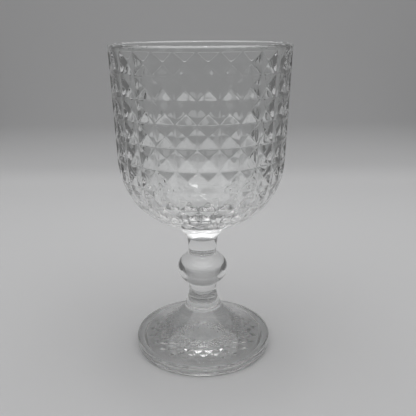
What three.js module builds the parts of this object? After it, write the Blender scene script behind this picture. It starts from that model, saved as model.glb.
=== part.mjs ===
// Clear pressed-glass goblet: a deep bowl covered with pressed diamond hollows,
// a stem with one ball knop, and a round foot, fused end to end.
// Millimetres, +Z up, with the origin on the table under the middle of the foot.
import * as THREE from 'three';
import { toCreasedNormals } from 'three/addons/utils/BufferGeometryUtils.js';

// Foot, from the table up
const FOOT_HEIGHT = 21.8;          // table to the flat joint with the stem
const FOOT_RADIUS = 36.4;          // at the widest part of the edge
const FOOT_EDGE = 6.2;             // height of the top of the edge
const EDGE_TOP_ROUND = 1.0;        // how far the upper edge rounds inward
const EDGE_TOP_DROP = 1.0;         // how far the upper edge rounds down
const EDGE_LOW_ROUND = 1.2;        // how far the lower edge rounds inward
const EDGE_LOW_RISE = 1.6;         // how far the lower edge rounds up
const FOOT_DIP = 2.6;              // how far the slope dips below a straight cone
const REST_WIDTH = 3.6;            // flat ring that the glass stands on
const RECESS_STEP = 1.6;           // rise from that ring to the hollow underneath
const RECESS_CENTRE = 5.0;         // depth that its slope would reach at the middle
const DOME_RADIUS = 12.0;          // edge of the dome in the middle of the hollow
const DOME_HEIGHT = 4.5;           // how far the dome rises above the slope
const LOZENGES = 24;               // small raised points around the underside
const LOZENGE_RINGS = 3;           // rings of them, smaller toward the middle
const LOZENGE_HEIGHT = 0.35;       // of a point in the outer ring

// Stem, from its lower joint up
const STEM_LENGTH = 40.0;          // joint to joint
const JOINT_LOW_RADIUS = 10.0;     // shared with the foot
const JOINT_TOP_RADIUS = 8.2;      // shared with the bowl
const NECK_RADIUS = 7.4;
const BASE_BAND = 1.0;             // short straight ring above the lower joint
const LOW_FLARE = 9.0;             // length of the lower flare
const KNOP_RADIUS = 13.4;
const KNOP_HALF = 9.7;             // from the knop's middle down its full ellipse
const KNOP_TOP_HALF = 9.6;         // from the knop's middle up its full ellipse
const KNOP_LEVEL = 22.5;           // middle of the knop above the lower joint
const KNOP_FILLET = 1.0;           // rounding between the knop and the necks

// Bowl, from its joint up
const BOWL_HEIGHT = 98.2;          // joint to lip
const RIM_RADIUS = 44.0;           // outside of the mouth
const SHOULDER_RADIUS = 42.1;      // outside where the straight side ends
const SHOULDER_LEVEL = 45.2;       // that place above the joint
const BELLY_LEVEL = 6.1;           // lowest point of the round bottom above the joint
const BELLY_POWER = 2.13;          // 2 is an ellipse, more is fuller
const RIM_WALL = 3.0;
const SHOULDER_WALL = 3.6;
const FLOOR_WALL = 6.0;            // glass under the middle of the inside
const LIP_ROUND = 1.5;             // height of the rounded lip
const PLAIN_BAND = 2.25;           // smooth band from the lip to the pattern
const COLLAR_RADIUS = 14.0;        // where the pattern starts above the collar
const COLLAR_RISE = 2.5;           // how steeply the collar leaves the joint
const COLLAR_SPREAD = 1.2;
const COLUMNS = 28;                // diamond hollows around
const ROWS = 10;                   // diamond hollows from collar to rim
const HOLLOW_DEPTH = 1.4;
const PATTERN_TURN = -2.45;        // degrees from the front to the nearest column line

// Fineness of the round surfaces
const STEM_SIDES = 48;
const KNOP_STEPS = 16;
const FLARE_STEPS = 6;
const FILLET_STEPS = 4;
const FOOT_STEPS = 8;
const DOME_STEPS = 10;
const EDGE_STEPS = 5;
const INSIDE_STEPS = 12;
const LIP_STEPS = 6;
const COLLAR_STEPS = 7;
const CREASE_DEGREES = 14;         // sharper edges than this are drawn as creases

const JOINT_LOW = FOOT_HEIGHT;
const JOINT_TOP = FOOT_HEIGHT + STEM_LENGTH;
const LIP = JOINT_TOP + BOWL_HEIGHT;

const v2 = (x, y) => new THREE.Vector2(x, y);

// A curve from start to end that leans toward pull, as points.
const bent = (start, pull, end, steps) => new THREE.QuadraticBezierCurve(start, pull, end).getPoints(steps);

function glass() {
  return new THREE.MeshStandardMaterial({
    color: 0xe6eaea,
    roughness: 0.05,
    metalness: 0.0,
    transparent: true,
    opacity: 0.35,
  });
}

// Turns a profile of radius and height around Z, with its first side toward the front.
function turned(profile, sides, startDegrees = 0) {
  const start = THREE.MathUtils.degToRad(startDegrees);
  return new THREE.LatheGeometry(profile, sides, start, 2 * Math.PI);
}

// Moves chosen points of a turned surface in its own profile plane, and lays the
// diagonal of each four-sided patch of the relief along its creases.
function press(geometry, count, sides, first, last, move, creaseOdd) {
  const position = geometry.attributes.position;
  const { points, phiStart, phiLength } = geometry.parameters;
  for (let side = 0; side <= sides; side += 1) {
    const angle = phiStart + (side / sides) * phiLength;
    for (let ring = first; ring <= last; ring += 1) {
      const shift = move(side, ring - first, ring);
      if (shift) {
        const radius = points[ring].x + shift.x;
        const height = points[ring].y + shift.y;
        const index = side * count + ring;
        position.setXYZ(index, radius * Math.sin(angle), height, radius * Math.cos(angle));
      }
    }
  }
  const faces = geometry.index;
  for (let side = 0; side < sides; side += 1) {
    for (let ring = first; ring < last; ring += 1) {
      const odd = (side + ring - first) % 2 === 1;
      if (odd === creaseOdd) {
        const a = side * count + ring;
        const b = a + count;
        const at = (side * (count - 1) + ring) * 6;
        [a, b, b + 1, a, b + 1, a + 1].forEach((value, k) => faces.setX(at + k, value));
      }
    }
  }
  return geometry;
}

function standing(geometry, name) {
  geometry.rotateX(Math.PI / 2);
  const creased = toCreasedNormals(geometry, THREE.MathUtils.degToRad(CREASE_DEGREES));
  const mesh = new THREE.Mesh(creased, glass());
  mesh.name = name;
  return mesh;
}

// Foot: a solid cone with a slightly dished slope, a thick rounded edge, a flat
// ring to stand on and a hollow underneath: rings of raised points on a gentle
// slope around a plain dome.
function foot() {
  const edgeTop = v2(FOOT_RADIUS - EDGE_TOP_ROUND, FOOT_EDGE);
  const restOuter = FOOT_RADIUS - EDGE_LOW_ROUND;
  const restInner = restOuter - REST_WIDTH;
  const bandOuter = restInner - RECESS_STEP;
  const ringRadius = (fromEdge) => bandOuter * Math.exp((-Math.PI / LOZENGES) * fromEdge);
  const slopeRise = (radius) => RECESS_CENTRE + (RECESS_STEP - RECESS_CENTRE) * (radius / bandOuter);
  const profile = [];
  for (let step = 0; step <= DOME_STEPS; step += 1) {
    const share = step / DOME_STEPS;
    const radius = DOME_RADIUS * share;
    profile.push(v2(radius, slopeRise(radius) + DOME_HEIGHT * (1 - share * share)));
  }
  const first = profile.length;
  for (let fromEdge = LOZENGE_RINGS + 1; fromEdge >= 0; fromEdge -= 1) {
    const radius = ringRadius(fromEdge);
    profile.push(v2(radius, slopeRise(radius)));
  }
  const last = profile.length - 1;
  profile.push(v2(restInner, 0));
  profile.push(v2(restOuter, 0));
  for (let step = 1; step <= EDGE_STEPS; step += 1) {
    const angle = (step / EDGE_STEPS) * (Math.PI / 2);
    const radius = restOuter + EDGE_LOW_ROUND * Math.sin(angle);
    profile.push(v2(radius, EDGE_LOW_RISE * (1 - Math.cos(angle))));
  }
  for (let step = 0; step <= EDGE_STEPS; step += 1) {
    const angle = (step / EDGE_STEPS) * (Math.PI / 2);
    const radius = edgeTop.x + EDGE_TOP_ROUND * Math.cos(angle);
    profile.push(v2(radius, FOOT_EDGE - EDGE_TOP_DROP * (1 - Math.sin(angle))));
  }
  const crease = v2(JOINT_LOW_RADIUS, JOINT_LOW);
  const middle = edgeTop.clone().add(crease).multiplyScalar(0.5);
  profile.push(...bent(edgeTop, v2(middle.x, middle.y - 2 * FOOT_DIP), crease, FOOT_STEPS).slice(1));
  profile.push(v2(0, JOINT_LOW));
  const sides = 2 * LOZENGES;
  const raised = (side, ring, point) => {
    const fromEdge = LOZENGE_RINGS + 1 - ring;
    if (ring === 0 || fromEdge === 0 || (side + fromEdge) % 2 === 1) {
      return null;
    }
    return v2(0, -LOZENGE_HEIGHT * (profile[point].x / bandOuter));
  };
  const creaseOdd = LOZENGE_RINGS % 2 === 1;
  const shape = turned(profile, sides);
  return standing(press(shape, profile.length, sides, first, last, raised, creaseOdd), 'foot');
}

// Stem: one turned solid with two flared necks and a ball knop between them.
function stem() {
  const knopMiddle = JOINT_LOW + KNOP_LEVEL;
  const knop = (angle) => {
    const half = angle > 0 ? KNOP_TOP_HALF : KNOP_HALF;
    return v2(KNOP_RADIUS * Math.cos(angle), knopMiddle + half * Math.sin(angle));
  };
  const reach = Math.acos(NECK_RADIUS / KNOP_RADIUS);
  const ball = Math.acos((NECK_RADIUS + KNOP_FILLET) / KNOP_RADIUS);
  const profile = [v2(0, JOINT_LOW), v2(JOINT_LOW_RADIUS, JOINT_LOW)];
  for (let step = 0; step <= FLARE_STEPS; step += 1) {
    const share = step / FLARE_STEPS;
    const radius = NECK_RADIUS + (JOINT_LOW_RADIUS - NECK_RADIUS) * (1 - share) ** 2;
    profile.push(v2(radius, JOINT_LOW + BASE_BAND + share * LOW_FLARE));
  }
  const lowCrease = knop(-reach);
  const lowNeck = v2(NECK_RADIUS, lowCrease.y - KNOP_FILLET);
  profile.push(...bent(lowNeck, lowCrease, knop(-ball), FILLET_STEPS));
  for (let step = 1; step < KNOP_STEPS; step += 1) {
    profile.push(knop(ball * ((2 * step) / KNOP_STEPS - 1)));
  }
  const topCrease = knop(reach);
  const topNeck = v2(NECK_RADIUS, topCrease.y + KNOP_FILLET);
  profile.push(...bent(knop(ball), topCrease, topNeck, FILLET_STEPS));
  for (let step = 1; step <= FLARE_STEPS; step += 1) {
    const share = step / FLARE_STEPS;
    const radius = NECK_RADIUS + (JOINT_TOP_RADIUS - NECK_RADIUS) * share ** 2;
    profile.push(v2(radius, topNeck.y + (JOINT_TOP - topNeck.y) * share));
  }
  profile.push(v2(0, JOINT_TOP));
  return standing(turned(profile, STEM_SIDES), 'stem');
}

// Outside of the bowl under the pattern: a full round bottom, then a straight side.
class BowlSide extends THREE.Curve {
  getPoint(t, target = new THREE.Vector2()) {
    const shoulder = JOINT_TOP + SHOULDER_LEVEL;
    const belly = JOINT_TOP + BELLY_LEVEL;
    const top = LIP - PLAIN_BAND;
    const start = Math.acos((COLLAR_RADIUS / SHOULDER_RADIUS) ** (BELLY_POWER / 2));
    if (t < 0.5) {
      const angle = start * (1 - 2 * t);
      const power = 2 / BELLY_POWER;
      const radius = SHOULDER_RADIUS * Math.cos(angle) ** power;
      return target.set(radius, shoulder - (shoulder - belly) * Math.sin(angle) ** power);
    }
    const share = 2 * t - 1;
    const height = shoulder + (top - shoulder) * share;
    const lean = (RIM_RADIUS - SHOULDER_RADIUS) / (LIP - shoulder);
    return target.set(SHOULDER_RADIUS + lean * (height - shoulder), height);
  }
}

// Bowl: a collar, the pressed outside, a rounded lip and a smooth inside.
function bowl() {
  const side = new BowlSide();
  side.arcLengthDivisions = 800;
  const profile = [v2(0, JOINT_TOP)];
  const joint = v2(JOINT_TOP_RADIUS, JOINT_TOP);
  const lean = v2(JOINT_TOP_RADIUS + COLLAR_SPREAD, JOINT_TOP + COLLAR_RISE);
  profile.push(...bent(joint, lean, side.getPoint(0), COLLAR_STEPS));
  const first = profile.length - 1;
  const last = first + 2 * ROWS;
  for (let step = 1; step <= 2 * ROWS; step += 1) {
    profile.push(side.getPointAt(step / (2 * ROWS)));
  }
  const lipMiddle = RIM_RADIUS - RIM_WALL / 2;
  for (let step = 0; step <= LIP_STEPS; step += 1) {
    const angle = (step / LIP_STEPS) * Math.PI;
    const radius = lipMiddle + (RIM_WALL / 2) * Math.cos(angle);
    profile.push(v2(radius, LIP - LIP_ROUND * (1 - Math.sin(angle))));
  }
  const insideShoulder = JOINT_TOP + SHOULDER_LEVEL;
  const floor = JOINT_TOP + BELLY_LEVEL + FLOOR_WALL;
  const insideRadius = SHOULDER_RADIUS - SHOULDER_WALL;
  for (let step = 0; step <= INSIDE_STEPS; step += 1) {
    const angle = (step / INSIDE_STEPS) * (Math.PI / 2);
    const power = 2 / BELLY_POWER;
    const height = insideShoulder - (insideShoulder - floor) * Math.sin(angle) ** power;
    const radius = step === INSIDE_STEPS ? 0 : insideRadius * Math.cos(angle) ** power;
    profile.push(v2(radius, height));
  }
  const sides = 2 * COLUMNS;
  const hollow = (column, row, point) => {
    if (column % 2 === 0 || row % 2 === 0) {
      return null;
    }
    const along = side.getTangentAt(row / (2 * ROWS));
    const depth = HOLLOW_DEPTH * (profile[point].x / RIM_RADIUS);
    return v2(-depth * along.y, depth * along.x);
  };
  const shape = turned(profile, sides, PATTERN_TURN);
  return standing(press(shape, profile.length, sides, first, last, hollow, false), 'bowl');
}

const goblet = new THREE.Group();
goblet.name = 'goblet';
goblet.add(foot(), stem(), bowl());

export default goblet;
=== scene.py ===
"""A clear pressed-glass goblet: the finish of its bowl, stem and foot, and a plain studio to show it in."""

import math

import bmesh
import bpy
import numpy as np
from bpy.props import FloatProperty, FloatVectorProperty, IntProperty, PointerProperty
from bpy.types import Operator, Panel, PropertyGroup
from mathutils import Matrix, Vector


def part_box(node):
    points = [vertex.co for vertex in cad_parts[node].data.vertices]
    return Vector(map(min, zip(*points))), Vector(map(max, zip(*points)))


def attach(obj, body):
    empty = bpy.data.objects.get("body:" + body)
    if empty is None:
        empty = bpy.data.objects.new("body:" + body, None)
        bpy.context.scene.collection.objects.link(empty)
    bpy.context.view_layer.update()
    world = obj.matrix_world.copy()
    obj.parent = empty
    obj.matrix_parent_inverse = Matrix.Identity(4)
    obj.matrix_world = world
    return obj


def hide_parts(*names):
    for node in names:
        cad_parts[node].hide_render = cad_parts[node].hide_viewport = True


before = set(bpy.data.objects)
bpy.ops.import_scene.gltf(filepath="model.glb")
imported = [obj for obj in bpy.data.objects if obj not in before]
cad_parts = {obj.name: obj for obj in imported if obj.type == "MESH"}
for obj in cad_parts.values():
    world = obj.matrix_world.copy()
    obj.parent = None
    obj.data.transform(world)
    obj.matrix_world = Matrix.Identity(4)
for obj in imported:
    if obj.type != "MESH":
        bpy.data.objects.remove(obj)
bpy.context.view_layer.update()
STEM_LOW, STEM_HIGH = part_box("stem")
BOWL_LOW, BOWL_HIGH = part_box("bowl")

bl_info = {
    "name": "Pressed Glass Goblet",
    "version": (1, 0, 0),
    "blender": (4, 5, 0),
    "location": "3D View > Sidebar > Goblet",
    "description": "Builds a stemmed glass with a bowl of diamond hollows, and a stage for it",
    "category": "Object",
}

MM = 0.001

# The photograph's side and focal length in pixels, and the camera's sensor in millimetres
PHOTO_SIDE = 416
PHOTO_FOCUS = 561.5
SENSOR_WIDTH = 36.0

# Points that count as one: on the axis, by decimals of an angle and a length, and where copies meet
ON_AXIS = 1e-9
ANGLE_DIGITS = 7
LENGTH_DIGITS = 9
WELD = 0.001 * MM

# Samples of the bowl's side, and steps along or around each curved form
ROUND_SAMPLES = 800
STRAIGHT_SAMPLES = 300
COLLAR_STEPS = 14
LIP_STEPS = 14
STRAIGHT_STEPS = 5
INSIDE_STEPS = 40
FLARE_STEPS = 14
FILLET_STEPS = 8
KNOP_HALF_STEPS = 28
POINT_STEPS = 6
CORE_STEPS = 40
RECESS_STEPS = 6
REST_STEPS = 3
EDGE_LOW_STEPS = 10
EDGE_TOP_STEPS = 12
SLOPE_STEPS = 28
BEND_STEPS = 24

# Rings inside a hollow of the bowl, the bow of the step under the foot, and what counts as on a border there
HOLLOW_RINGS = (0.4, 0.7)
RECESS_PULL = 0.6
BORDER_SLACK = 0.01

# Noise of the smears, waves and stipple, and how far the stipple fades past its edge
SMEAR_DETAIL = 3.0
SMEAR_START = 0.5
SMEAR_FULL = 0.75
WAVE_DETAIL = 1.0
STIPPLE_DETAIL = 0.0
STIPPLE_FADE = 1.1

# How often light may pass through glass, and how often it may be mirrored or cross a fused joint
PASSES = 32
BOUNCES = 16


def size(name, description, millimetres):
    """A length that a user may change."""
    return FloatProperty(name=name, description=description, default=millimetres * MM, min=0.0,
                         precision=5, unit="LENGTH", subtype="DISTANCE")


def number(name, description, default):
    """A plain number that a user may change."""
    return FloatProperty(name=name, description=description, default=default, precision=4)


def count(name, description, default):
    """A whole number that a user may change."""
    return IntProperty(name=name, description=description, default=default, min=1)


def turn(name, description, degrees):
    """An angle that a user may change."""
    return FloatProperty(name=name, description=description, default=math.radians(degrees),
                         unit="ROTATION", subtype="ANGLE")


def colour(name, description, default):
    """A colour that a user may change."""
    return FloatVectorProperty(name=name, description=description, default=default, size=3,
                               min=0.0, max=1.0, subtype="COLOR")


def place(name, description, metres):
    """A point in the scene that a user may change."""
    return FloatVectorProperty(name=name, description=description, default=metres, size=3,
                               unit="LENGTH", subtype="TRANSLATION")


class GobletBowlSizes(PropertyGroup):
    """Sizes of the bowl. Levels count from its joint with the stem."""

    rim_radius: size("Rim radius", "Outside of the mouth", 44.0)
    shoulder_radius: size("Shoulder radius", "Outside where the straight side ends", 42.1)
    shoulder_level: size("Shoulder level", "Height of that place", 45.2)
    belly_level: size("Belly level", "Lowest point of the round bottom", 6.1)
    belly_power: number("Belly power", "2 is an ellipse, more is fuller", 2.13)
    rim_wall: size("Rim wall", "Thickness of the lip", 3.0)
    shoulder_wall: size("Shoulder wall", "Thickness at the shoulder", 3.6)
    floor_wall: size("Floor wall", "Glass under the middle of the inside", 6.0)
    lip_round: size("Lip round", "Height of the rounded lip", 1.5)
    plain_band: size("Plain band", "Smooth band from the lip to the pattern", 2.25)
    collar_radius: size("Collar radius", "Where the pattern starts above the collar", 14.0)
    collar_rise: size("Collar rise", "How steeply the collar leaves the joint", 2.5)
    collar_spread: size("Collar spread", "How far the collar leans out there", 1.2)
    columns: count("Columns", "Diamond hollows around the bowl", 28)
    rows: count("Rows", "Diamond hollows from collar to rim", 10)
    hollow_depth: size("Hollow depth", "Depth of a hollow at the rim", 1.4)
    crease_round: number("Crease round", "Softened share of a hollow at its creases", 0.10)
    ridge_round: number("Ridge round", "Softened share of a hollow at its ridges", 0.10)
    pattern_turn: turn("Pattern turn", "From the front to the nearest column line", -2.45)


class GobletStemSizes(PropertyGroup):
    """Sizes of the stem. Levels count from its joint with the foot."""

    joint_low_radius: size("Lower joint radius", "Where the stem meets the foot", 10.0)
    joint_top_radius: size("Upper joint radius", "Where the stem meets the bowl", 8.2)
    neck_radius: size("Neck radius", "Thinnest part of the stem", 7.4)
    base_band: size("Base band", "Short straight ring above the lower joint", 1.0)
    low_flare: size("Lower flare", "Length of the flare above that ring", 9.0)
    knop_radius: size("Knop radius", "Widest part of the ball", 13.4)
    knop_half: size("Knop half height", "From the middle of the ball down its full ellipse", 9.7)
    knop_top_half: size("Knop upper half", "From the middle of the ball up its full ellipse", 9.6)
    knop_fillet: size("Knop fillet", "Rounding between the ball and the necks", 1.0)
    knop_level: size("Knop level", "Middle of the ball", 22.5)
    sides: count("Sides", "Faces around the stem", 96)


class GobletFootSizes(PropertyGroup):
    """Sizes of the foot. Levels count from the table."""

    radius: size("Radius", "Widest part of the edge", 36.4)
    edge_height: size("Edge height", "Top of the edge", 6.2)
    edge_top_round: size("Upper edge round", "How far the upper edge rounds inward", 1.0)
    edge_top_drop: size("Upper edge drop", "How far the upper edge rounds down", 1.0)
    edge_low_round: size("Lower edge round", "How far the lower edge rounds inward", 1.2)
    edge_low_rise: size("Lower edge rise", "How far the lower edge rounds up", 1.6)
    dip: size("Dip", "How far the slope dips below a straight cone", 2.6)
    rest_width: size("Rest width", "Flat ring that the glass stands on", 3.6)
    recess_step: size("Recess step", "Rise from that ring to the hollow underneath", 1.6)
    recess_centre: size("Recess centre", "Depth that the sloping hollow would have at the middle", 5.0)
    dome_radius: size("Dome radius", "Edge of the dome in the middle of the hollow", 12.0)
    dome_height: size("Dome height", "How far the dome rises above the slope", 4.5)
    lozenges: count("Lozenges", "Raised points around the underside", 24)
    lozenge_rings: count("Lozenge rings", "Rings of points from the edge inward", 3)
    lozenge_height: size("Lozenge height", "Height of a point in the outer ring", 0.35)
    point_round: number("Point round", "Softened share of a point at its ridges", 0.12)
    stipple_radius: size("Stipple radius", "Edge of the fine stipple in the middle of the underside", 18.0)
    stipple_top: size("Stipple top", "Level above which the foot is polished", 10.5)
    stipple_roughness: number("Stipple roughness", "Roughness of the stipple", 0.5)
    stipple_size: size("Stipple size", "Width of a grain of the stipple", 1.0)
    stipple_height: size("Stipple height", "Height of a grain", 0.3)


class GobletGlassFinish(PropertyGroup):
    """Finish of the clear glass."""

    tint: colour("Tint", "Colour that the glass lets through", (0.985, 0.99, 0.988))
    ior: number("Index of refraction", "How strongly the glass bends light", 1.52)
    least_roughness: number("Least roughness", "Roughness of the cleanest places", 0.0)
    most_roughness: number("Most roughness", "Roughness of the faint smears", 0.02)
    smear_size: size("Smear size", "Width of a faint smear", 14.0)
    wave_size: size("Wave size", "Width of the waves left by the mould", 7.0)
    wave_height: size("Wave height", "Height of those waves", 0.012)


class GobletStageLook(PropertyGroup):
    """Floor, backdrop, lamps and camera."""

    floor_colour: colour("Floor colour", "Pale grey of the table", (0.70, 0.70, 0.705))
    # Wall colour: the paper's pale grey, darkened as painted shade for the lamp light that falls off up the
    # backdrop
    wall_colour_with_painted_shade: colour("Wall colour", "Grey of the backdrop", (0.62, 0.62, 0.625))
    wall_distance: size("Wall distance", "From the glass to the backdrop", 375.0)
    wall_height: size("Wall height", "Top of the backdrop", 600.0)
    sheet_front: size("Sheet front", "From the glass to the front edge of the paper", 120.0)
    sheet_front_half: size("Sheet front half", "Half the width of the paper at its front edge", 155.0)
    sheet_back_half: size("Sheet back half", "Half the width of the paper at the backdrop", 285.0)
    bend_radius: size("Bend radius", "Curve between floor and backdrop", 60.0)
    # Bend fade: height over which that painted shade comes in, from the floor's colour to the wall's
    painted_shade_fade_height: size("Bend fade", "Height over which the floor turns into the wall's grey", 16.0)
    floor_gap: size("Floor gap", "Thin air under the flat ring of the foot", 0.1)
    room_level: number("Room level", "Even light of the room", 0.13)
    lamp_power: number("Lamp", "Power of the wide lamp overhead in watts", 9.5)
    lamp_width: size("Lamp width", "Length of that lamp from left to right", 1800.0)
    lamp_depth: size("Lamp depth", "Length of that lamp from front to back", 1200.0)
    lamp_place: place("Lamp place", "Middle of that lamp", (0.0, -0.1, 1.05))
    bulb_power: number("Bulb", "Power of the small lamp that gives the glints, in watts", 0.5)
    bulb_size: size("Bulb size", "Edge of the small square lamp", 150.0)
    bulb_place: place("Bulb place", "Middle of the small lamp", (0.0, 0.12, 1.07))
    camera_place: place("Camera place", "Eye point", (0.0, -0.2784, 0.16758))
    camera_focus: number("Camera focus", "Focal length in picture widths", PHOTO_FOCUS / PHOTO_SIDE)
    camera_tilt: turn("Camera tilt", "Downward tilt", 17.97)
    camera_yaw: turn("Camera yaw", "Turn about the upright", -0.6286)
    camera_roll: turn("Camera roll", "Turn about the line of sight", -0.314)


class Sector:
    """One repeat of a piece turned about the upright: its points, its faces and which faces are fused joints.

    Angles count from the front, to the right.
    """

    def __init__(self):
        self.points = []
        self.numbers = {}
        self.faces = []
        self.fused = []

    def point(self, angle, radius, height):
        """The number of a point, which is made once."""
        if radius < ON_AXIS:
            angle = radius = 0.0
        key = (round(angle, ANGLE_DIGITS), round(radius, LENGTH_DIGITS), round(height, LENGTH_DIGITS))
        if key not in self.numbers:
            self.numbers[key] = len(self.points)
            self.points.append((radius * math.sin(angle), -radius * math.cos(angle), height))
        return self.numbers[key]

    def face(self, corners, fused=False):
        """A face, unless so many of its corners fall together that nothing is left of it."""
        kept = list(dict.fromkeys(corners))
        if len(kept) > 2:
            self.faces.append(kept)
            self.fused.append(fused)

    def strip(self, angles, profile, fused=False):
        """A smooth band: a profile of (radius, height) turned through the angles."""
        for low, high in zip(profile, profile[1:]):
            for left, right in zip(angles, angles[1:]):
                self.face((self.point(left, *low), self.point(right, *low),
                           self.point(right, *high), self.point(left, *high)), fused)

    def mesh(self, name):
        """The sector as a mesh, with sharp edges around its fused faces."""
        mesh = bpy.data.meshes.new(name)
        mesh.from_pydata(self.points, [], self.faces)
        mesh.attributes.new("fused", "BOOLEAN", "FACE").data.foreach_set("value", self.fused)
        mesh.polygons.foreach_set("use_smooth", [not fused for fused in self.fused])
        rims = set()
        for face, fused in zip(self.faces, self.fused):
            if fused:
                rims.update(frozenset(pair) for pair in zip(face, face[1:] + face[:1]))
        for edge in mesh.edges:
            edge.use_edge_sharp = frozenset(edge.vertices) in rims
        return mesh


def bent(start, pull, end, steps):
    """A curve from start to end that leans toward pull, as (radius, height) points."""
    points = []
    for step in range(steps + 1):
        t = step / steps
        points.append(tuple((1 - t) ** 2 * a + 2 * t * (1 - t) * b + t * t * c
                            for a, b, c in zip(start, pull, end)))
    return points


def soft_larger(a, b, width):
    """The larger of two numbers, blended where they differ by less than width."""
    near = max(width - abs(a - b), 0.0)
    return max(a, b) + near * near / (4 * width)


def soft_rise(share, width):
    """A straight rise from 0 that starts gently over about width."""
    return math.sqrt(share * share + width * width) - width


class BowlSide:
    """Outside of the bowl from collar to rim: a full round bottom, then a straight side."""

    def __init__(self, sizes, joint, lip):
        shoulder = joint + sizes.shoulder_level
        belly = joint + sizes.belly_level
        power = 2 / sizes.belly_power
        start = math.acos((sizes.collar_radius / sizes.shoulder_radius) ** (1 / power))
        angles = np.linspace(start, 0.0, ROUND_SAMPLES)
        heights = np.linspace(shoulder, lip - sizes.plain_band, STRAIGHT_SAMPLES)[1:]
        lean = (sizes.rim_radius - sizes.shoulder_radius) / (lip - shoulder)
        self.radius = np.concatenate([sizes.shoulder_radius * np.cos(angles) ** power,
                                      sizes.shoulder_radius + lean * (heights - shoulder)])
        self.height = np.concatenate([shoulder - (shoulder - belly) * np.sin(angles) ** power, heights])
        steps = np.hypot(np.diff(self.radius), np.diff(self.height))
        self.along = np.concatenate([[0.0], np.cumsum(steps)])
        self.length = float(self.along[-1])

    def at(self, share):
        """Radius and height at a share of the length."""
        where = share * self.length
        return (float(np.interp(where, self.along, self.radius)),
                float(np.interp(where, self.along, self.height)))

    def outward(self, share):
        """Direction square to the side, away from the glass."""
        step = 0.002
        low, high = self.at(max(share - step, 0.0)), self.at(min(share + step, 1.0))
        along = Vector((high[0] - low[0], high[1] - low[1])).normalized()
        return along.y, -along.x


def hollow_spots(soft):
    """Rings of a diamond hollow from its middle to its edge, each with its places along one side."""
    rings = []
    for ring in (0.0, soft, *HOLLOW_RINGS, 1 - soft, 1.0):
        inner = max(ring - soft, 0.0)
        rings.append((ring, (-ring, -inner, -inner / 2, 0.0, inner / 2, inner, ring)))
    return rings


def bowl_sector(sizes, joint, lip, joint_radius):
    """One column of the bowl, from the joint up the outside, over the lip and down the inside."""
    side = BowlSide(sizes, joint, lip)
    half_turn = math.pi / sizes.columns
    rings = hollow_spots(sizes.crease_round)
    angles = [half_turn * place for place in rings[-1][1]]
    sector = Sector()
    collar = bent((joint_radius, joint), (joint_radius + sizes.collar_spread, joint + sizes.collar_rise),
                  side.at(0.0), COLLAR_STEPS)
    sector.strip(angles, [(0.0, joint), collar[0]], fused=True)
    sector.strip(angles, collar)

    def pressed(row, across, up):
        """The number of a point in the hollow of a row, at a place from -1 to 1 across it and up it."""
        share = (row + 0.5 + up / 2) / sizes.rows
        radius, height = side.at(share)
        edge = min(soft_larger(abs(across), abs(up), sizes.crease_round), 1.0)
        depth = sizes.hollow_depth * radius / sizes.rim_radius * soft_rise(1 - edge, sizes.ridge_round)
        out_radius, out_height = side.outward(share)
        return sector.point(half_turn * across, radius - depth * out_radius, height - depth * out_height)

    for row in range(sizes.rows):
        for low, high in zip(rings, rings[1:]):
            for spot in range(len(low[1]) - 1):
                corners = ((low[0], low[1][spot]), (high[0], high[1][spot]),
                           (high[0], high[1][spot + 1]), (low[0], low[1][spot + 1]))
                for quarter in range(4):
                    sector.face([pressed(row, across, up) for across, up in corners])
                    corners = [(-up, across) for across, up in corners]

    middle = sizes.rim_radius - sizes.rim_wall / 2
    over = [side.at(1.0)]
    for step in range(LIP_STEPS + 1):
        angle = math.pi * step / LIP_STEPS
        over.append((middle + sizes.rim_wall / 2 * math.cos(angle),
                     lip - sizes.lip_round * (1 - math.sin(angle))))
    shoulder = joint + sizes.shoulder_level
    floor = joint + sizes.belly_level + sizes.floor_wall
    inside = sizes.shoulder_radius - sizes.shoulder_wall
    power = 2 / sizes.belly_power
    lip_radius, lip_level = over[-1]
    for step in range(1, STRAIGHT_STEPS):
        share = step / STRAIGHT_STEPS
        over.append((lip_radius + (inside - lip_radius) * share, lip_level + (shoulder - lip_level) * share))
    for step in range(INSIDE_STEPS + 1):
        angle = math.pi / 2 * step / INSIDE_STEPS
        over.append((inside * math.cos(angle) ** power if step < INSIDE_STEPS else 0.0,
                     shoulder - (shoulder - floor) * math.sin(angle) ** power))
    sector.strip(angles, over)
    return sector


def stem_sector(sizes, low, high):
    """One narrow slice of the stem, from the lower joint to the upper."""
    half_turn = math.pi / sizes.sides
    angles = (-half_turn, half_turn)
    reach = math.acos(sizes.neck_radius / sizes.knop_radius)
    ball = math.acos((sizes.neck_radius + sizes.knop_fillet) / sizes.knop_radius)

    def knop(angle):
        """Radius and height of the ball at an angle above its middle."""
        half = sizes.knop_top_half if angle > 0 else sizes.knop_half
        return sizes.knop_radius * math.cos(angle), low + sizes.knop_level + half * math.sin(angle)

    profile = [(sizes.joint_low_radius, low)]
    for step in range(FLARE_STEPS + 1):
        share = step / FLARE_STEPS
        profile.append((sizes.neck_radius + (sizes.joint_low_radius - sizes.neck_radius) * (1 - share) ** 2,
                        low + sizes.base_band + sizes.low_flare * share))
    crease, start = knop(-reach), knop(-ball)
    profile += bent((crease[0], crease[1] - sizes.knop_fillet), crease, start, FILLET_STEPS)
    profile += [knop(ball * (step / KNOP_HALF_STEPS - 1)) for step in range(1, 2 * KNOP_HALF_STEPS + 1)]
    crease, start = knop(reach), knop(ball)
    profile += bent(start, crease, (crease[0], crease[1] + sizes.knop_fillet), FILLET_STEPS)[1:]
    start = profile[-1][1]
    for step in range(1, FLARE_STEPS + 1):
        share = step / FLARE_STEPS
        profile.append((sizes.neck_radius + (sizes.joint_top_radius - sizes.neck_radius) * share ** 2,
                        start + (high - start) * share))
    sector = Sector()
    sector.strip(angles, [(0.0, low), profile[0]], fused=True)
    sector.strip(angles, profile)
    sector.strip(angles, [profile[-1], (0.0, high)], fused=True)
    return sector


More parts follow.
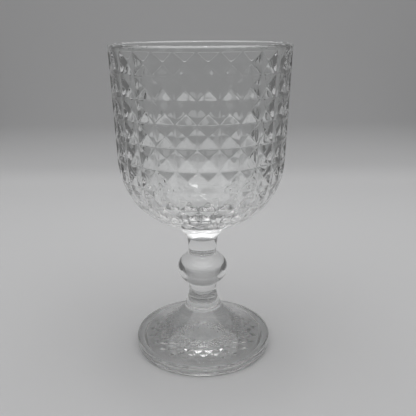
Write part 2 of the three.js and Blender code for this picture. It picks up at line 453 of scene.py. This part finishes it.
def foot_sector(sizes, joint, joint_radius):
    """One repeat of the foot: the dome and points underneath, the flat ring, the edge and the upper slope."""
    half_turn = math.pi / sizes.lozenges
    angles = [half_turn * (step / POINT_STEPS - 1) for step in range(2 * POINT_STEPS + 1)]
    rest_outer = sizes.radius - sizes.edge_low_round
    rest_inner = rest_outer - sizes.rest_width
    band_outer = rest_inner - sizes.recess_step
    sector = Sector()

    def hollow(radius):
        """Height of the underside at a radius, without its points."""
        slope = sizes.recess_centre + (sizes.recess_step - sizes.recess_centre) * radius / band_outer
        return slope + sizes.dome_height * max(1 - (radius / sizes.dome_radius) ** 2, 0.0)

    def lattice(across, ring):
        """A place counted along the two slanting rows of points."""
        return (across + ring) / 2, (across - ring) / 2

    def raised(across, ring):
        """The number of a point of the mesh underneath, which is lower where a raised point stands out."""
        radius = band_outer * math.exp(-half_turn * ring)
        height = hollow(radius)
        one, other = lattice(across, ring)
        centre = round(one) - round(other)
        if 1 <= centre <= sizes.lozenge_rings:
            edge = soft_larger(2 * abs(one - round(one)), 2 * abs(other - round(other)), sizes.point_round)
            top = sizes.lozenge_height * radius / band_outer
            height -= top * soft_rise(max(1 - edge, 0.0), sizes.point_round)
        return sector.point(half_turn * across, radius, height)

    last = POINT_STEPS * (sizes.lozenge_rings + 1)
    core = band_outer * math.exp(-half_turn * last / POINT_STEPS)
    radii = [core * step / CORE_STEPS for step in range(CORE_STEPS + 1)]
    sector.strip(angles, [(radius, hollow(radius)) for radius in radii])
    for row in range(last, 0, -1):
        for column in range(2 * POINT_STEPS):
            left, right = column / POINT_STEPS - 1, (column + 1) / POINT_STEPS - 1
            inner, outer = row / POINT_STEPS, (row - 1) / POINT_STEPS
            corners = [raised(left, inner), raised(right, inner), raised(right, outer), raised(left, outer)]
            # A face is split along the border of two points where one crosses it
            border = lattice(left, inner)[0]
            if abs(border - math.floor(border) - 0.5) < BORDER_SLACK:
                sector.face((corners[0], corners[1], corners[2]))
                sector.face((corners[0], corners[2], corners[3]))
            else:
                sector.face((corners[0], corners[1], corners[3]))
                sector.face((corners[1], corners[2], corners[3]))

    edge_top = (sizes.radius - sizes.edge_top_round, sizes.edge_height)
    crease = (joint_radius, joint)
    pull = RECESS_PULL * sizes.recess_step
    rim = bent((band_outer, sizes.recess_step), (band_outer + pull, pull), (rest_inner, 0.0), RECESS_STEPS)
    rim += [(rest_inner + sizes.rest_width * (step / REST_STEPS), 0.0) for step in range(1, REST_STEPS + 1)]
    for step in range(1, EDGE_LOW_STEPS + 1):
        angle = math.pi / 2 * step / EDGE_LOW_STEPS
        rim.append((rest_outer + sizes.edge_low_round * math.sin(angle),
                    sizes.edge_low_rise * (1 - math.cos(angle))))
    for step in range(EDGE_TOP_STEPS + 1):
        angle = math.pi / 2 * step / EDGE_TOP_STEPS
        rim.append((edge_top[0] + sizes.edge_top_round * math.cos(angle),
                    edge_top[1] - sizes.edge_top_drop * (1 - math.sin(angle))))
    # A curve goes half way to its pull, so the pull lies twice the dip below a straight cone
    middle = ((edge_top[0] + crease[0]) / 2, (edge_top[1] + crease[1]) / 2 - 2 * sizes.dip)
    rim += bent(edge_top, middle, crease, SLOPE_STEPS)[1:]
    sector.strip(angles, rim)
    sector.strip(angles, [crease, (0.0, joint)], fused=True)
    return sector


def add_node(tree, kind, inputs=None, **settings):
    """Adds a node, sets it up, and gives each input a value or a link."""
    node = tree.nodes.new(kind)
    for name, value in settings.items():
        setattr(node, name, value)
    for name, value in (inputs or {}).items():
        if isinstance(value, bpy.types.NodeSocket):
            tree.links.new(value, node.inputs[name])
        else:
            node.inputs[name].default_value = value
    return node


def around_tree():
    """Geometry Nodes that repeat one sector around the upright and weld it into a closed piece of glass."""
    name = "goblet_around"
    if name in bpy.data.node_groups:
        return bpy.data.node_groups[name]
    tree = bpy.data.node_groups.new(name, "GeometryNodeTree")
    tree.interface.new_socket("Geometry", in_out="OUTPUT", socket_type="NodeSocketGeometry")
    sockets = {
        "Sector": "NodeSocketGeometry",
        "Copies": "NodeSocketInt",
        "Turn": "NodeSocketFloat",
        "Weld": "NodeSocketFloat",
        "Glass": "NodeSocketMaterial",
        "Joint": "NodeSocketMaterial",
    }
    for label, kind in sockets.items():
        tree.interface.new_socket(label, in_out="INPUT", socket_type=kind)
    given = tree.nodes.new("NodeGroupInput").outputs
    points = add_node(tree, "GeometryNodePoints", {"Count": given["Copies"]})
    index = tree.nodes.new("GeometryNodeInputIndex").outputs[0]
    share = add_node(tree, "ShaderNodeMath", {0: index, 1: given["Copies"]}, operation="DIVIDE")
    angle = add_node(tree, "ShaderNodeMath", {0: share.outputs[0], 1: 2 * math.pi, 2: given["Turn"]},
                     operation="MULTIPLY_ADD")
    spin = add_node(tree, "FunctionNodeAxisAngleToRotation", {"Axis": (0, 0, 1), "Angle": angle.outputs[0]})
    copies = add_node(tree, "GeometryNodeInstanceOnPoints", {
        "Points": points.outputs[0], "Instance": given["Sector"], "Rotation": spin.outputs[0]})
    real = add_node(tree, "GeometryNodeRealizeInstances", {"Geometry": copies.outputs[0]})
    welded = add_node(tree, "GeometryNodeMergeByDistance", {
        "Geometry": real.outputs[0], "Distance": given["Weld"]})
    fused = add_node(tree, "GeometryNodeInputNamedAttribute", {"Name": "fused"}, data_type="BOOLEAN")
    clear = add_node(tree, "GeometryNodeSetMaterial", {
        "Geometry": welded.outputs[0], "Material": given["Glass"]})
    joined = add_node(tree, "GeometryNodeSetMaterial", {
        "Geometry": clear.outputs[0], "Selection": fused.outputs[0], "Material": given["Joint"]})
    add_node(tree, "NodeGroupOutput", {"Geometry": joined.outputs[0]})
    return tree


def glass_material(name, finish):
    """Clear glass, with the faint waves of the mould and a few smears."""
    material = bpy.data.materials.new(name)
    material.use_nodes = True
    tree = material.node_tree
    shader = tree.nodes["Principled BSDF"]
    shader.inputs["Base Color"].default_value = (*finish.tint, 1.0)
    shader.inputs["Transmission Weight"].default_value = 1.0
    shader.inputs["IOR"].default_value = finish.ior
    where = tree.nodes.new("ShaderNodeTexCoord").outputs["Object"]
    smear = add_node(tree, "ShaderNodeTexNoise", {
        "Vector": where, "Scale": 1 / finish.smear_size, "Detail": SMEAR_DETAIL})
    roughness = add_node(tree, "ShaderNodeMapRange", {
        "Value": smear.outputs["Fac"], "From Min": SMEAR_START, "From Max": SMEAR_FULL,
        "To Min": finish.least_roughness, "To Max": finish.most_roughness})
    tree.links.new(roughness.outputs["Result"], shader.inputs["Roughness"])
    wave = add_node(tree, "ShaderNodeTexNoise", {
        "Vector": where, "Scale": 1 / finish.wave_size, "Detail": WAVE_DETAIL})
    bump = add_node(tree, "ShaderNodeBump", {
        "Height": wave.outputs["Fac"], "Strength": 1.0, "Distance": finish.wave_height})
    tree.links.new(bump.outputs["Normal"], shader.inputs["Normal"])
    return material


def add_stipple(material, sizes):
    """Gives the middle of the foot's underside a fine stipple."""
    tree = material.node_tree
    shader = tree.nodes["Principled BSDF"]
    roughness = shader.inputs["Roughness"].links[0].from_socket
    smooth = shader.inputs["Normal"].links[0].from_socket
    where = tree.nodes.new("ShaderNodeTexCoord").outputs["Object"]
    apart = add_node(tree, "ShaderNodeSeparateXYZ", {"Vector": where})
    across = add_node(tree, "ShaderNodeCombineXYZ", {"X": apart.outputs["X"], "Y": apart.outputs["Y"]})
    radius = add_node(tree, "ShaderNodeVectorMath", {0: across.outputs[0]}, operation="LENGTH")

    def within(value, limit):
        """1 up to a limit, fading to 0 a little past it."""
        fade = add_node(tree, "ShaderNodeMapRange", {
            "Value": value, "From Min": limit, "From Max": STIPPLE_FADE * limit,
            "To Min": 1.0, "To Max": 0.0})
        return fade.outputs["Result"]

    inner = within(radius.outputs["Value"], sizes.stipple_radius)
    under = within(apart.outputs["Z"], sizes.stipple_top)
    share = add_node(tree, "ShaderNodeMath", {0: inner, 1: under}, operation="MULTIPLY")
    rough = add_node(tree, "ShaderNodeMath", {
        0: share.outputs[0], 1: sizes.stipple_roughness, 2: roughness}, operation="MULTIPLY_ADD")
    tree.links.new(rough.outputs[0], shader.inputs["Roughness"])
    grain = add_node(tree, "ShaderNodeTexNoise", {
        "Vector": where, "Scale": 1 / sizes.stipple_size, "Detail": STIPPLE_DETAIL})
    relief = add_node(tree, "ShaderNodeMath", {0: share.outputs[0], 1: grain.outputs["Fac"]},
                      operation="MULTIPLY")
    bump = add_node(tree, "ShaderNodeBump", {
        "Height": relief.outputs[0], "Strength": 1.0, "Distance": sizes.stipple_height, "Normal": smooth})
    tree.links.new(bump.outputs["Normal"], shader.inputs["Normal"])


def joint_material():
    """The faces where two pieces are melted into one, which nobody can see."""
    name = "fused_joint"
    if name in bpy.data.materials:
        return bpy.data.materials[name]
    material = bpy.data.materials.new(name)
    material.use_nodes = True
    tree = material.node_tree
    tree.nodes.remove(tree.nodes["Principled BSDF"])
    clear = tree.nodes.new("ShaderNodeBsdfTransparent")
    tree.links.new(clear.outputs["BSDF"], tree.nodes["Material Output"].inputs["Surface"])
    return material


def make_piece(name, sector, copies, start, glass, node):
    """Repeats a sector around the upright, keeps the result as a plain mesh and sets it on the frame."""
    piece = bpy.data.objects.new(name, sector.mesh(name + "_sector"))
    bpy.context.scene.collection.objects.link(piece)
    tree = around_tree()
    around = piece.modifiers.new("Around", "NODES")
    around.node_group = tree
    values = {"Copies": copies, "Turn": start, "Weld": WELD, "Glass": glass, "Joint": joint_material()}
    for socket in tree.interface.items_tree:
        if socket.in_out == "INPUT" and socket.name in values:
            around[socket.identifier] = values[socket.name]
    flat = piece.modifiers.new("Flat facets", "WEIGHTED_NORMAL")
    flat.keep_sharp = True
    depsgraph = bpy.context.evaluated_depsgraph_get()
    mesh = bpy.data.meshes.new_from_object(piece.evaluated_get(depsgraph), preserve_all_data_layers=True,
                                           depsgraph=depsgraph)
    piece.modifiers.clear()
    sketch, piece.data = piece.data, mesh
    bpy.data.meshes.remove(sketch)
    mesh.name = name
    check_closed(piece)
    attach(piece, "root")
    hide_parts(node)
    return piece


def check_closed(piece):
    """Raises an error unless the piece is one closed body with its faces outward."""
    solid = bmesh.new()
    solid.from_mesh(piece.data)
    open_edges = sum(len(edge.link_faces) != 2 for edge in solid.edges)
    volume = solid.calc_volume(signed=True)
    solid.free()
    if open_edges or volume <= 0:
        raise RuntimeError(f"{piece.name} has {open_edges} open edges and a volume of {volume}")


class GOBLET_OT_bowl(Operator):
    """Build the bowl with its diamond hollows, lip, inside and collar"""

    bl_idname = "goblet.bowl"
    bl_label = "Bowl"

    def execute(self, context):
        sizes = context.scene.goblet_bowl
        sector = bowl_sector(sizes, BOWL_LOW.z, BOWL_HIGH.z, context.scene.goblet_stem.joint_top_radius)
        glass = glass_material("bowl_glass", context.scene.goblet_glass)
        start = sizes.pattern_turn + math.pi / sizes.columns
        make_piece("pressed_bowl", sector, sizes.columns, start, glass, "bowl")
        return {"FINISHED"}


class GOBLET_OT_stem(Operator):
    """Build the stem with its two necks and its ball knop"""

    bl_idname = "goblet.stem"
    bl_label = "Stem"

    def execute(self, context):
        sizes = context.scene.goblet_stem
        sector = stem_sector(sizes, STEM_LOW.z, STEM_HIGH.z)
        glass = glass_material("stem_glass", context.scene.goblet_glass)
        make_piece("knopped_stem", sector, sizes.sides, 0.0, glass, "stem")
        return {"FINISHED"}


class GOBLET_OT_foot(Operator):
    """Build the round foot with the dome, raised points and stipple underneath"""

    bl_idname = "goblet.foot"
    bl_label = "Foot"

    def execute(self, context):
        sizes = context.scene.goblet_foot
        sector = foot_sector(sizes, STEM_LOW.z, context.scene.goblet_stem.joint_low_radius)
        glass = glass_material("foot_glass", context.scene.goblet_glass)
        add_stipple(glass, sizes)
        make_piece("round_foot", sector, sizes.lozenges, 0.0, glass, "foot")
        return {"FINISHED"}


def sweep_material(look):
    """Matt paper that is pale on the floor, with painted shade that makes it greyer up the wall."""
    material = bpy.data.materials.new("paper_sweep")
    material.use_nodes = True
    tree = material.node_tree
    shader = tree.nodes["Principled BSDF"]
    shader.inputs["Roughness"].default_value = 1.0
    shader.inputs["Specular IOR Level"].default_value = 0.0
    where = tree.nodes.new("ShaderNodeTexCoord").outputs["Object"]
    height = add_node(tree, "ShaderNodeSeparateXYZ", {"Vector": where}).outputs["Z"]
    # Painted shade: with height the colour fades from the floor's pale grey to the wall's darker grey, where
    # less lamp light falls
    fade = add_node(tree, "ShaderNodeMapRange", {
        "Value": height, "From Min": 0.0, "From Max": look.painted_shade_fade_height}, interpolation_type="SMOOTHSTEP")
    grey = add_node(tree, "ShaderNodeMix", data_type="RGBA", inputs={
        "Factor": fade.outputs["Result"], "A": (*look.floor_colour, 1.0), "B": (*look.wall_colour_with_painted_shade, 1.0)})
    tree.links.new(grey.outputs["Result"], shader.inputs["Base Color"])
    return material


def make_sweep(look):
    """A floor of paper that widens toward the back and bends up into the backdrop."""
    wall, bend, drop = look.wall_distance, look.bend_radius, -look.floor_gap
    line = [(-look.sheet_front, drop)]
    for step in range(BEND_STEPS + 1):
        angle = math.pi / 2 * step / BEND_STEPS
        line.append((wall - bend + bend * math.sin(angle), drop + bend - bend * math.cos(angle)))
    line.append((wall, look.wall_height))
    points = []
    for y, z in line:
        share = (y + look.sheet_front) / (wall + look.sheet_front)
        half = look.sheet_front_half + (look.sheet_back_half - look.sheet_front_half) * share
        points += [(-half, y, z), (half, y, z)]
    faces = [(2 * i, 2 * i + 1, 2 * i + 3, 2 * i + 2) for i in range(len(line) - 1)]
    mesh = bpy.data.meshes.new("paper_sweep")
    mesh.from_pydata(points, [], faces)
    mesh.polygons.foreach_set("use_smooth", [True] * len(faces))
    mesh.materials.append(sweep_material(look))
    sweep = bpy.data.objects.new("paper_sweep", mesh)
    bpy.context.scene.collection.objects.link(sweep)


def make_lamp(name, where, width, depth, power):
    """A soft lamp overhead that faces down."""
    lamp = bpy.data.lights.new(name, "AREA")
    lamp.shape = "RECTANGLE"
    lamp.size = width
    lamp.size_y = depth
    lamp.energy = power
    holder = bpy.data.objects.new(name, lamp)
    holder.location = where
    bpy.context.scene.collection.objects.link(holder)


def make_camera(look):
    """A camera at the photograph's place and angle."""
    camera = bpy.data.cameras.new("camera")
    camera.sensor_width = SENSOR_WIDTH
    camera.lens = look.camera_focus * SENSOR_WIDTH
    holder = bpy.data.objects.new("camera", camera)
    holder.matrix_world = (Matrix.Translation(look.camera_place) @ Matrix.Rotation(look.camera_yaw, 4, "Z")
                           @ Matrix.Rotation(math.pi / 2 - look.camera_tilt, 4, "X")
                           @ Matrix.Rotation(look.camera_roll, 4, "Z"))
    bpy.context.scene.collection.objects.link(holder)
    bpy.context.scene.camera = holder


class GOBLET_OT_stage(Operator):
    """Set out the floor, the backdrop, the lamps, the room's light and the camera"""

    bl_idname = "goblet.stage"
    bl_label = "Stage"

    def execute(self, context):
        scene = context.scene
        look = scene.goblet_stage
        make_sweep(look)
        make_lamp("lamp", look.lamp_place, look.lamp_width, look.lamp_depth, look.lamp_power)
        make_lamp("bulb", look.bulb_place, look.bulb_size, look.bulb_size, look.bulb_power)
        world = bpy.data.worlds.new("room")
        world.use_nodes = True
        world.node_tree.nodes["Background"].inputs["Color"].default_value = (1.0, 1.0, 1.0, 1.0)
        world.node_tree.nodes["Background"].inputs["Strength"].default_value = look.room_level
        scene.world = world
        make_camera(look)
        scene.view_settings.view_transform = "Standard"
        scene.cycles.max_bounces = PASSES
        scene.cycles.transmission_bounces = PASSES
        scene.cycles.glossy_bounces = BOUNCES
        scene.cycles.transparent_max_bounces = BOUNCES
        return {"FINISHED"}


def list_values(layout, group):
    """Lists the values of a group in the sidebar."""
    for prop in group.bl_rna.properties:
        if prop.identifier not in {"rna_type", "name"}:
            layout.prop(group, prop.identifier)


class GOBLET_PT_panel(Panel):
    """Goblet tools in the sidebar"""

    bl_idname = "GOBLET_PT_panel"
    bl_label = "Goblet"
    bl_space_type = "VIEW_3D"
    bl_region_type = "UI"
    bl_category = "Goblet"

    def draw(self, context):
        for operator, group in PIECES:
            self.layout.operator(operator)
            list_values(self.layout, getattr(context.scene, group))
        self.layout.label(text="Glass")
        list_values(self.layout, context.scene.goblet_glass)


PIECES = (
    ("goblet.bowl", "goblet_bowl"),
    ("goblet.stem", "goblet_stem"),
    ("goblet.foot", "goblet_foot"),
    ("goblet.stage", "goblet_stage"),
)
GROUPS = {
    "goblet_bowl": GobletBowlSizes,
    "goblet_stem": GobletStemSizes,
    "goblet_foot": GobletFootSizes,
    "goblet_glass": GobletGlassFinish,
    "goblet_stage": GobletStageLook,
}
CLASSES = (*GROUPS.values(), GOBLET_OT_bowl, GOBLET_OT_stem, GOBLET_OT_foot, GOBLET_OT_stage, GOBLET_PT_panel)


def register():
    for each in CLASSES:
        bpy.utils.register_class(each)
    for name, group in GROUPS.items():
        setattr(bpy.types.Scene, name, PointerProperty(type=group))


def unregister():
    for name in GROUPS:
        delattr(bpy.types.Scene, name)
    for each in reversed(CLASSES):
        bpy.utils.unregister_class(each)


def main():
    register()
    bpy.ops.goblet.bowl()
    bpy.ops.goblet.stem()
    bpy.ops.goblet.foot()
    bpy.ops.goblet.stage()


if __name__ == "__main__":
    main()
